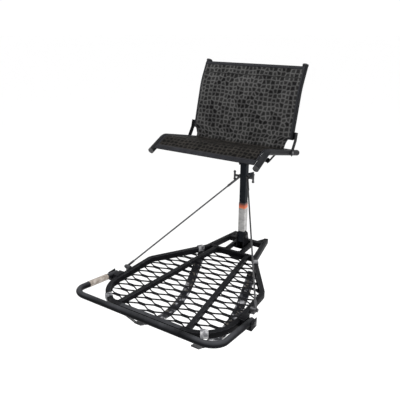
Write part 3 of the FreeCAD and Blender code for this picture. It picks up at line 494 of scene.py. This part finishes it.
# ---------------------------------------------------------------- expanded metal floor
# One sheet of slit and stretched steel. Stretching tips each strand, so one side of every
# opening stands up and the other lies low.
mesh_long, mesh_short = 0.132, 0.046
strand_tip = 0.0030
opening_share, tip_share = 0.38, 0.4
floor_rear = -0.164
first_row = floor_rear - mesh_short / 2
grate = bmesh.new()
grate.from_mesh(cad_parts["platform_grate"].data)
bmesh.ops.remove_doubles(grate, verts=grate.verts, dist=merge_reach)
for vertex in grate.verts:
    row = round((first_row - vertex.co.y) / (mesh_short / 2))
    best = None
    for near in (row - 1, row, row + 1):
        shift = 0.25 if near % 2 else -0.25
        column = round(vertex.co.x / mesh_long - shift)
        dx = vertex.co.x - mesh_long * (column + shift)
        dy = vertex.co.y - (first_row - mesh_short / 2 * near)
        reach = max(abs(dy) / (mesh_short / 2),
                    abs(dx) / (mesh_long * opening_share) + abs(dy) / mesh_short)
        if best is None or reach < best[0]:
            best = (reach, dy)
    vertex.co.z -= strand_tip * max(-1.0, min(1.0, best[1] / (mesh_short * tip_share)))
edge_wear_and_highlight = grate.faces.layers.float.new("wear")
sharp = [edge for edge in grate.edges
         if edge.is_manifold and edge.calc_face_angle_signed(0.0) > math.radians(50)]
rounded = bmesh.ops.bevel(grate, geom=sharp, offset=0.0006, offset_type="OFFSET", segments=2,
                          profile=0.5, affect="EDGES", clamp_overlap=True, material=-1)
for face in rounded["faces"]:
    face[edge_wear_and_highlight] = 1.0
finished("expanded_floor", grate, frame_coat, "platform",
         replaced=("platform_grate",))


# ---------------------------------------------------------------- footrest
# Round steel tube bent to a wide U on two bolts, its open ends plugged. A blank tan film
# is wrapped round its left arm.
sleeve_film = Finish("sleeve_film")
spot = sleeve_film.place()
blotch = sleeve_film.noise(sleeve_film.place((1.0, 0.6, 1.0)), 70.0, 5.0)
tans = sleeve_film.ramp(blotch, [(0.36, (0.155, 0.128, 0.105)), (0.64, (0.33, 0.295, 0.265))])
sleeve_film.set(Base_Color=tans, Roughness=blotch * 0.2 + 0.35)
sleeve_film.bump(sleeve_film.noise(spot, 400.0, 2.0), 0.00006, 0.6)
# The footrest tube takes the coat with the stronger painted highlight on top.
eased("footrest_tube", "footrest", top_highlit_coat, 0.0005)
eased("footrest_sleeve", "footrest", sleeve_film, 0.0003)
eased("footrest_plugs", "footrest", black_plastic, 0.0016)


# ---------------------------------------------------------------- yoke and seat frame
# Two laser-cut plates bolted through the post carry the seat's pivot tube. The seat frame
# is round steel tube bent to an S, with a middle bar on two slanted tabs.
eased("seat_yoke", "post", frame_coat, 0.0010)
# The seat and back rails wear a lighter copy of the frame's coat: a painted highlight.
painted_highlight_rail_coat = powder_coat("painted_highlight_rail_coat", (0.0045, 0.0047, 0.0054), (0.0150, 0.0153, 0.0166),
                        (0.068, 0.069, 0.073))
for node in ("seat_rail_left", "seat_rail_right"):
    eased(node, "seat", painted_highlight_rail_coat, 0.0006)
for node in ("seat_pivot_tube", "seat_middle_bar", "seat_bar_tabs"):
    eased(node, "seat", frame_coat, 0.0006)
for node in ("back_rail_left", "back_rail_right"):
    eased(node, "back", painted_highlight_rail_coat, 0.0008)
for node in ("back_hinge_plates", "back_top_bar", "back_lower_bar"):
    eased(node, "back", frame_coat, 0.0008)
eased("seat_rail_caps", "seat", black_plastic, 0.0012)
eased("back_rail_caps", "back", black_plastic, 0.0018)


# ---------------------------------------------------------------- the sling
# One panel of vinyl-coated mesh, laced tight between the rails from the seat's rolled lip,
# over the crest, down into the corner and up the backrest. Printed with an uneven grid of
# scale-like cells, painted darker on the seat than on the backrest as painted shade. Its edges are cut
# back in a curve where the two halves meet.
seat_half, back_half = 0.2383, 0.2470
lip = (-0.4410, 0.5463)
crest = (-0.3527, 0.5864)
dip = (-0.1884, 0.5478)
corner = (-0.1245, 0.5323)
back_bend = (-0.0486, 0.7894)
top_edge = (-0.0008, 0.8733)
notch_deep, notch_up, notch_ahead = 0.022, 0.048, 0.034
bends = {1: 0.062, 2: 0.143, 3: 0.018, 4: 0.260}
slack_deep, panel_thick, fold_reach = 0.0028, 0.0016, 0.014
seam_down, yarn_scale = 0.052, 190.0
across_cells, along_cells = 40, 96


def rounded_path(points, radii):
    """The (y, z) line through the points with each listed corner rounded to its radius."""
    line = bmesh.new()
    verts = [line.verts.new((0.0, y, z)) for y, z in points]
    for first, second in zip(verts, verts[1:]):
        line.edges.new((first, second))
    places = [vertex.co.copy() for vertex in verts]
    for index, radius in radii.items():
        back = (places[index - 1] - places[index]).normalized()
        ahead = (places[index + 1] - places[index]).normalized()
        turn = math.pi - back.angle(ahead)
        line.verts.ensure_lookup_table()
        here = min(line.verts, key=lambda vertex: (vertex.co - places[index]).length)
        bmesh.ops.bevel(line, geom=[here], offset=radius * math.tan(turn / 2), offset_type="OFFSET",
                        segments=9, profile=0.5, affect="VERTICES", clamp_overlap=False, material=-1)
    ends = [vertex for vertex in line.verts if len(vertex.link_edges) == 1]
    here = min(ends, key=lambda vertex: (vertex.co - places[0]).length)
    walked, before = [here.co.copy()], None
    while True:
        ahead = [edge for edge in here.link_edges if edge is not before]
        if not ahead:
            break
        before = ahead[0]
        here = before.other_vert(here)
        walked.append(here.co.copy())
    line.free()
    return walked


sling_path = rounded_path([lip, crest, dip, corner, back_bend, top_edge], bends)
sling_marks = [0.0]
for first, second in zip(sling_path, sling_path[1:]):
    sling_marks.append(sling_marks[-1] + (second - first).length)
sling_long = sling_marks[-1]
corner_at = min(zip(sling_marks, sling_path),
                key=lambda pair: (pair[1] - Vector((0, *corner))).length)[0]


def on_path(distance):
    """Point and upward normal of the sling's line at a distance from its lip."""
    distance = max(0.0, min(sling_long - 0.000001, distance))
    index = max(i for i, mark in enumerate(sling_marks[:-1]) if mark <= distance)
    first, second = sling_path[index], sling_path[index + 1]
    share = (distance - sling_marks[index]) / (second - first).length

    def slope(i):
        a, b = sling_path[max(i - 1, 0)], sling_path[min(i + 1, len(sling_path) - 1)]
        return (b - a).normalized()

    way = slope(index).lerp(slope(index + 1), share).normalized()
    return first.lerp(second, share), Vector((0.0, -way.z, way.y))


def half_width(distance):
    """Half the sling's width: full on the rails, cut back in a curve near the corner."""
    full = seat_half if distance < corner_at else back_half
    off = distance - corner_at
    if 0 <= off < notch_up:
        return full - notch_deep * math.sqrt(1 - (off / notch_up) ** 2)
    if -notch_ahead < off < 0:
        return full - (notch_deep - back_half + seat_half) * (1 + off / notch_ahead) ** 2
    return full


def lay_on_sling(shape, lift=0.0):
    """Moves flat cloth, x across from -1 to 1 and y in metres along, onto the sling's surface."""
    for vertex in shape.verts:
        across, distance = vertex.co.x, vertex.co.y
        point, normal = on_path(distance)
        share = max(0.0, min(1.0, distance / sling_long))
        slack = slack_deep * (1 - across ** 2) * math.sin(math.pi * share) ** 0.5
        place = Vector((across * half_width(distance), point.y, point.z))
        vertex.co = place + normal * (lift - slack)


def thicken(piece, thick):
    """Gives cloth its thickness, half to each side."""
    wall = piece.modifiers.new("thickness", "SOLIDIFY")
    wall.thickness = thick
    wall.offset = 0.0


sling_cloth = Finish("sling_cloth")
flat = sling_cloth.place(source="UV")
run = sling_cloth.measure(flat, 1)
bent = sling_cloth.node("TexNoise", {"noise_dimensions": "3D"},
                        {"Vector": flat, "Scale": 13.0, "Detail": 2.0}, out=1)
pushed = sling_cloth.node("VectorMath", {"operation": "MULTIPLY_ADD"},
                          {0: bent, 1: (0.016, 0.010, 0.0), 2: flat})
squared = {"Vector": pushed, "Scale": 51.0, "Randomness": 0.50}
cells = sling_cloth.node("TexVoronoi", {"feature": "DISTANCE_TO_EDGE", "voronoi_dimensions": "2D"},
                         squared)
tone = sling_cloth.node("TexVoronoi", {"feature": "F1", "voronoi_dimensions": "2D"}, squared, out=1)
tone = sling_cloth.node("SeparateColor", None, {0: tone}, out=0)
patches = sling_cloth.noise(flat, 11.0, 3.0)
fine = sling_cloth.noise(flat, 160.0, 2.0)
shade = patches * 0.45 + tone * 0.35 + fine * 0.2
island = sling_cloth.rise(cells, 0.03, 0.24)
back_lines = sling_cloth.ramp(shade, [(0.3, (0.032, 0.0315, 0.0315)), (0.7, (0.079, 0.078, 0.077))])
back_cells = sling_cloth.ramp(shade, [(0.3, (0.003, 0.003, 0.003)), (0.7, (0.020, 0.020, 0.0195))])
# The seat half's copy of the print is darker: painted shade.
shaded_seat_lines = sling_cloth.ramp(shade, [(0.3, (0.013, 0.0120, 0.0110)), (0.7, (0.029, 0.0262, 0.0235))])
shaded_seat_cells = sling_cloth.ramp(shade, [(0.3, (0.0015, 0.0015, 0.0015)), (0.7, (0.006, 0.0054, 0.005))])
back_dye = sling_cloth.mix(island, back_lines, back_cells)
shaded_seat_dye = sling_cloth.mix(island, shaded_seat_lines, shaded_seat_cells)
warp = sling_cloth.stripes(flat, "X", yarn_scale)
weft = sling_cloth.stripes(flat, "Y", yarn_scale)
seam = sling_cloth.rise(abs(run - (sling_long - seam_down)), 0.0014, 0.0036)
on_back = sling_cloth.rise(run, corner_at - 0.004, corner_at + 0.010)
dyed_and_shaded = sling_cloth.mix(on_back, shaded_seat_dye, back_dye)
sling_cloth.set(Base_Color=sling_cloth.mix((1 - seam) * 0.8, dyed_and_shaded, (0.008, 0.008, 0.008)),
                Roughness=warp * 0.15 + 0.6, Specular_IOR_Level=0.03)
sling_cloth.bump(warp * 0.35 + weft * 0.35 + seam * 0.6 + (1 - island) * 0.3, 0.0006, 0.8)

sling = bmesh.new()
stretch = Matrix.Diagonal((1.0, sling_long / 2, 1.0, 1.0))
bmesh.ops.create_grid(sling, x_segments=across_cells, y_segments=along_cells, size=1.0,
                      matrix=Matrix.Translation((0.0, sling_long / 2, 0.0)) @ stretch)
sling_uv = sling.loops.layers.uv.new("UVMap")
for face in sling.faces:
    for loop in face.loops:
        loop[sling_uv].uv = (loop.vert.co.x * seat_half, loop.vert.co.y)
lay_on_sling(sling)
bmesh.ops.recalc_face_normals(sling, faces=sling.faces)
cut_area = sum(face.calc_area() for face in sling.faces)
sling_piece = finished("sling_panel", sling, sling_cloth, None, 80.0,
                       replaced=("seat_sling", "back_sling"))
thicken(sling_piece, panel_thick)
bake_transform(sling_piece)


# ---------------------------------------------------------------- the hems
# The sling's edges are folded over and sewn down with two rows of thread: narrow along the
# sides, broad across the lip, middling along the top.
hem_thick, hem_lift, hem_over, hem_step = 0.0012, 0.0013, 0.0010, 0.006
# The lip hem is broad enough to cover the steep front of the lip in dark cloth: partly a real hem,
# partly painted shade.
side_hem, lip_hem_and_shade, top_hem, hem_stop = 0.006, 0.028, 0.012, 0.020
stitch_rows, stitch_half = (0.0015, 0.0045), 0.0006
hem_cloth = Finish("hem_cloth")
flat = hem_cloth.place(source="UV")
from_edge = hem_cloth.measure(flat, 0)
run = hem_cloth.measure(flat, 1)
stitch = hem_cloth.node("Math", {"operation": "PINGPONG"}, {0: run, 1: 0.0025}) > 0.0007
thread = stitch * ((abs(from_edge - stitch_rows[0]) < stitch_half)
                   + (abs(from_edge - stitch_rows[1]) < stitch_half))
warp = hem_cloth.stripes(flat, "X", yarn_scale)
faded = hem_cloth.noise(flat, 30.0, 3.0)
dark = hem_cloth.ramp(faded, [(0.3, (0.004, 0.0042, 0.0055)), (0.7, (0.012, 0.0125, 0.016))])
hem_cloth.set(Base_Color=hem_cloth.mix(thread, dark, (0.030, 0.030, 0.033)),
              Roughness=warp * 0.15 + 0.6, Specular_IOR_Level=0.12)
hem_cloth.bump(warp * 0.4 + thread * 0.8, 0.0005, 0.8)


def hem(name, body, first, last, edges):
    """A folded edge lying on the sling: a strip along each side, or one across an end."""
    strip = bmesh.new()
    along_side = len(edges) == 2
    columns = 2 if along_side else across_cells
    steps = max(2, round((last - first) / hem_step)) if along_side else 2
    for side in edges:
        grid = bmesh.ops.create_grid(strip, x_segments=columns, y_segments=steps, size=0.5)
        for vertex in grid["verts"]:
            distance = first + (last - first) * (vertex.co.y + 0.5)
            if along_side:
                edge = half_width(distance)
                inward = side_hem * (0.5 - vertex.co.x * side)
                vertex.co.x = side * (edge + hem_over - inward) / edge
            else:
                vertex.co.x *= 2.0
            vertex.co.y = distance
    uv = strip.loops.layers.uv.new("UVMap")
    for face in strip.faces:
        for loop in face.loops:
            across, distance = loop.vert.co.x, loop.vert.co.y
            if along_side:
                loop[uv].uv = ((1 - abs(across)) * half_width(distance), distance)
            else:
                loop[uv].uv = (min(distance - first, last - distance), across * seat_half)
    lay_on_sling(strip, hem_lift)
    bmesh.ops.remove_doubles(strip, verts=strip.verts, dist=merge_reach)
    bmesh.ops.recalc_face_normals(strip, faces=strip.faces)
    made = finished(name, strip, hem_cloth, body, 80.0)
    thicken(made, hem_thick)
    return made


hems = [hem("seat_side_hems", "seat", 0.0, corner_at - hem_stop, sides),
        hem("back_side_hems", "back", corner_at + hem_stop, sling_long, sides),
        hem("seat_lip_hem", "seat", 0.0, lip_hem_and_shade, (0,)),
        hem("back_top_hem", "back", sling_long - top_hem, sling_long, (0,))]


# ---------------------------------------------------------------- strap loops and webbing
# Flat woven webbing: pale loops sewn round the rails, painted dark as shade where they pass
# underneath and darker on the left, and black webbing that ties the shoulder straps to them.
belt_rib = 150.0
dark_yarn = [(0.3, (0.012, 0.012, 0.013)), (0.7, (0.030, 0.030, 0.033))]
belt = Finish("belt")
spot = belt.place()
rib = belt.stripes(spot, "DIAGONAL", belt_rib, 0.4)
fuzz = belt.noise(spot, 90.0, 3.0)
belt.set(Base_Color=belt.ramp(fuzz, dark_yarn), Roughness=fuzz * 0.2 + 0.7, Sheen_Weight=0.05,
         Specular_IOR_Level=0.15)
belt.bump(rib, 0.0004, 0.8)

pale_belt = Finish("pale_belt")
spot = pale_belt.place()
rib = pale_belt.stripes(spot, "DIAGONAL", belt_rib, 0.4)
fuzz = pale_belt.noise(spot, 45.0, 4.0)
clean = pale_belt.ramp(fuzz, [(0.38, (0.12, 0.12, 0.13)), (0.62, (0.48, 0.48, 0.49))])
darker_left = pale_belt.ramp(fuzz, [(0.42, (0.020, 0.020, 0.024)), (0.62, (0.26, 0.26, 0.27))])
pale = pale_belt.mix(pale_belt.measure(spot, 0) > 0.0, darker_left, clean)
# Below the rail the pale loops are painted dark: painted shade.
above = pale_belt.rise(pale_belt.measure(spot, 2), -0.024, -0.018)
under = pale_belt.ramp(fuzz, dark_yarn)
pale_belt.set(Base_Color=pale_belt.mix(above, under, pale), Roughness=fuzz * 0.2 + 0.6,
              Sheen_Weight=0.05, Specular_IOR_Level=0.2)
pale_belt.bump(rib, 0.0004, 0.8)
for node in ("strap_loops_rear", "strap_loops_front"):
    eased(node, "platform", pale_belt, 0.0004)
for node in ("strap_webbing_rear", "strap_webbing_front"):
    eased(node, "platform", belt, 0.0005)


# ---------------------------------------------------------------- ladder buckles
# Moulded plastic: a plate with two slots and a lower bar between them. The webbing comes up
# through one slot, lies over the bar and goes down through the other.
strap_x = 0.146
slot_x, slot_near, slot_far = 0.0152, 0.0032, 0.0095
across = (-0.019, -slot_x, -0.006, 0.006, slot_x, 0.019)
ahead = (-0.013, -slot_far, -slot_near, slot_near, slot_far, 0.013)
buckle_deep, bar_sunk, bar_margin = 0.008, 0.0022, 0.0008
tape_half, tape_thick = 0.0140, 0.0016
tape_path = ((-0.0165, 0.0), (-0.0105, 0.0002), (-0.0075, 0.0010), (-0.0050, 0.0035), (-0.0030, 0.0042),
             (0.0030, 0.0042), (0.0050, 0.0035), (0.0075, 0.0010), (0.0105, 0.0002), (0.0175, 0.0))
buckle_y, buckle_z, buckle_lean = -0.7060, -0.1543, (0.904, 0.428)
buckles, threads = bmesh.new(), bmesh.new()
for side in sides:
    lie = Matrix(((1, 0, 0, side * strap_x),
                  (0, buckle_lean[0], buckle_lean[1], buckle_y),
                  (0, -buckle_lean[1], buckle_lean[0], buckle_z),
                  (0, 0, 0, 1)))
    plate = bmesh.ops.create_grid(buckles, x_segments=5, y_segments=5, size=1.0)["verts"]
    for vertex in plate:
        column, row = round((vertex.co.x + 1) * 2.5), round((vertex.co.y + 1) * 2.5)
        vertex.co = Vector((across[column], ahead[row], -buckle_deep / 2))
    slots, kept = [], []
    for face in dict.fromkeys(face for vertex in plate for face in vertex.link_faces):
        middle = face.calc_center_median()
        slotted = abs(middle.x) < slot_x and slot_near < abs(middle.y) < slot_far
        (slots if slotted else kept).append(face)
    bmesh.ops.delete(buckles, geom=slots, context="FACES")
    raised = bmesh.ops.extrude_face_region(buckles, geom=kept, use_keep_orig=True)["geom"]
    top = [item for item in raised if isinstance(item, bmesh.types.BMVert)]
    bmesh.ops.translate(buckles, vec=(0.0, 0.0, buckle_deep), verts=top)
    for vertex in top:
        if abs(vertex.co.y) < slot_near + bar_margin and abs(vertex.co.x) < slot_x + bar_margin:
            vertex.co.z -= bar_sunk
    bmesh.ops.transform(buckles, matrix=lie, verts=[v for v in plate if v.is_valid] + top)
    rows = len(tape_path) - 1
    tape = bmesh.ops.create_grid(threads, x_segments=2, y_segments=rows, size=1.0)["verts"]
    for vertex in tape:
        here = tape_path[round((vertex.co.y + 1) / 2 * rows)]
        vertex.co = lie @ Vector((vertex.co.x * tape_half, *here))
bmesh.ops.recalc_face_normals(buckles, faces=buckles.faces)
sharp = [edge for edge in buckles.edges
         if edge.is_manifold and edge.calc_face_angle_signed(0.0) > math.radians(50)]
bmesh.ops.bevel(buckles, geom=sharp, offset=0.0011, offset_type="OFFSET", segments=3, profile=0.5,
                affect="EDGES", clamp_overlap=True, material=-1)
finished("ladder_buckles", buckles, black_plastic, "platform",
         replaced=("strap_buckles",))
thicken(finished("buckle_webbing", threads, belt, "platform", 60.0), tape_thick)


# ---------------------------------------------------------------- shoulder straps
# Two padded carrying straps hung under the floor: foam in a woven cover printed with soft
# grey, black and tan blotches. Each is tied to the rear rail and buckled to the front one.
strap_line = [Vector((0.0, y, z)) for y, z in (
    (-0.216, -0.048), (-0.256, -0.092), (-0.304, -0.150), (-0.368, -0.202), (-0.470, -0.224),
    (-0.580, -0.214), (-0.694, -0.160))]
strap_wide, sag_reach = 0.052, 0.055
strap_marks = [0.0]
for first, second in zip(strap_line, strap_line[1:]):
    strap_marks.append(strap_marks[-1] + (second - first).length)


def on_strap(distance):
    """Point of the strap's middle line at a distance from its rear end."""
    index = max(i for i, mark in enumerate(strap_marks[:-1]) if mark <= distance or i == 0)
    first, second = strap_line[index], strap_line[index + 1]
    return first.lerp(second, (distance - strap_marks[index]) / (second - first).length)


def hung(point):
    """Moves a point of the straight-sided strap onto the curve in which the strap really sags."""
    flat = Vector((0.0, point.y, point.z))
    nearest = None
    for index, (first, second) in enumerate(zip(strap_line, strap_line[1:])):
        share = max(0.0, min(1.0, (flat - first).dot(second - first) / (second - first).length_squared))
        off = (first.lerp(second, share) - flat).length
        if nearest is None or off < nearest[0]:
            nearest = (off, strap_marks[index] + share * (second - first).length)
    distance = nearest[1]
    reach = min(sag_reach, distance, strap_marks[-1] - distance)
    near = [on_strap(distance + reach * step / 5) for step in range(-5, 6)]
    return point + sum(near, Vector()) / len(near) - on_strap(distance)


cover_yarn = 260.0
cover = Finish("strap_cover")
spot = cover.place()
large = cover.noise(cover.place((1.0, 0.8, 0.8)), 33.0, 4.0)
small = cover.noise(spot, 60.0, 3.0)
warp = cover.stripes(spot, "X", cover_yarn)
weft = cover.stripes(spot, "Y", cover_yarn)
blots = cover.ramp(large, [(0.46, (0.006, 0.0065, 0.009)), (0.52, (0.022, 0.023, 0.029)),
                           (0.58, (0.13, 0.13, 0.14)), (0.64, (0.38, 0.38, 0.40))])
flecks = cover.ramp(small, [(0.45, (0.008, 0.008, 0.011)), (0.66, (0.13, 0.115, 0.095))])
cover.set(Base_Color=cover.mix((small > 0.58) * 0.8, blots, flecks), Roughness=warp * 0.1 + 0.8,
          Sheen_Weight=0.06, Specular_IOR_Level=0.15)
cover.bump(warp * 0.5 + weft * 0.5, 0.0004, 0.8)

voxel, seam_band, quilt_half, quilt_rows, bulge = 0.0042, 0.0055, 0.0036, 6, 0.0045
cloth_frames, quick_frames, smooth_rounds = 20, 6, 5


def puffed(node, name):
    """The strap with its foam pressing the cover out between quilting rows sewn right through."""
    shape = bmesh.new()
    shape.from_mesh(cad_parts[node].data)
    bmesh.ops.remove_doubles(shape, verts=shape.verts, dist=merge_reach)
    strap = finished(name, shape, cover, None)
    grid = strap.modifiers.new("grid", "REMESH")
    grid.mode = "VOXEL"
    grid.voxel_size = voxel
    grid.use_smooth_shade = True
    with bpy.context.temp_override(object=strap, active_object=strap, selected_objects=[strap]):
        bpy.ops.object.modifier_apply(modifier="grid")
    for vertex in strap.data.vertices:
        vertex.co = hung(vertex.co.copy())
    first = [vertex.co.copy() for vertex in strap.data.vertices]
    ahead = [point.y for point in first]
    front, rear = min(ahead), max(ahead)
    middle = sum(point.x for point in first) / len(first)
    sewn = strap.vertex_groups.new(name="sewn")
    for index, point in enumerate(first):
        edge = abs(point.x - middle) > strap_wide / 2 - seam_band
        along = (rear - point.y) / (rear - front) * quilt_rows
        row = abs(along - round(along)) * (rear - front) / quilt_rows < quilt_half
        if edge or row:
            sewn.add([index], 1.0, "REPLACE")
    cloth = strap.modifiers.new("cloth", "CLOTH")
    cloth.settings.quality = 4
    cloth.settings.mass = 0.25
    cloth.settings.tension_stiffness = 12.0
    cloth.settings.compression_stiffness = 12.0
    cloth.settings.bending_stiffness = 0.4
    cloth.settings.use_pressure = True
    cloth.settings.uniform_pressure_force = 4.0
    cloth.settings.vertex_group_mass = "sewn"
    cloth.settings.effector_weights.gravity = 0.0
    cloth.collision_settings.use_collision = False
    cloth.point_cache.frame_start, cloth.point_cache.frame_end = 1, cloth_frames
    last = cloth_frames
    for moment in range(1, last + 1):
        bpy.context.scene.frame_set(moment)
    with bpy.context.temp_override(object=strap, active_object=strap, selected_objects=[strap]):
        bpy.ops.object.modifier_apply(modifier="cloth")
    bpy.context.scene.frame_set(1)
    for vertex, start in zip(strap.data.vertices, first):
        moved = vertex.co - start
        if moved.length > bulge:
            vertex.co = start + moved.normalized() * bulge
    shape = bmesh.new()
    shape.from_mesh(strap.data)
    for _ in range(smooth_rounds):
        bmesh.ops.smooth_vert(shape, verts=shape.verts, factor=0.5,
                              use_axis_x=True, use_axis_y=True, use_axis_z=True)
    bmesh.ops.recalc_face_normals(shape, faces=shape.faces)
    shape.to_mesh(strap.data)
    shape.free()
    strap.data.polygons.foreach_set("use_smooth", [True] * len(strap.data.polygons))
    round_off = strap.modifiers.new("rounding", "SUBSURF")
    round_off.levels = round_off.render_levels = 1
    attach(strap, "platform")
    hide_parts(node)


for name in ("left", "right"):
    puffed("shoulder_strap_" + name, "padded_strap_" + name)
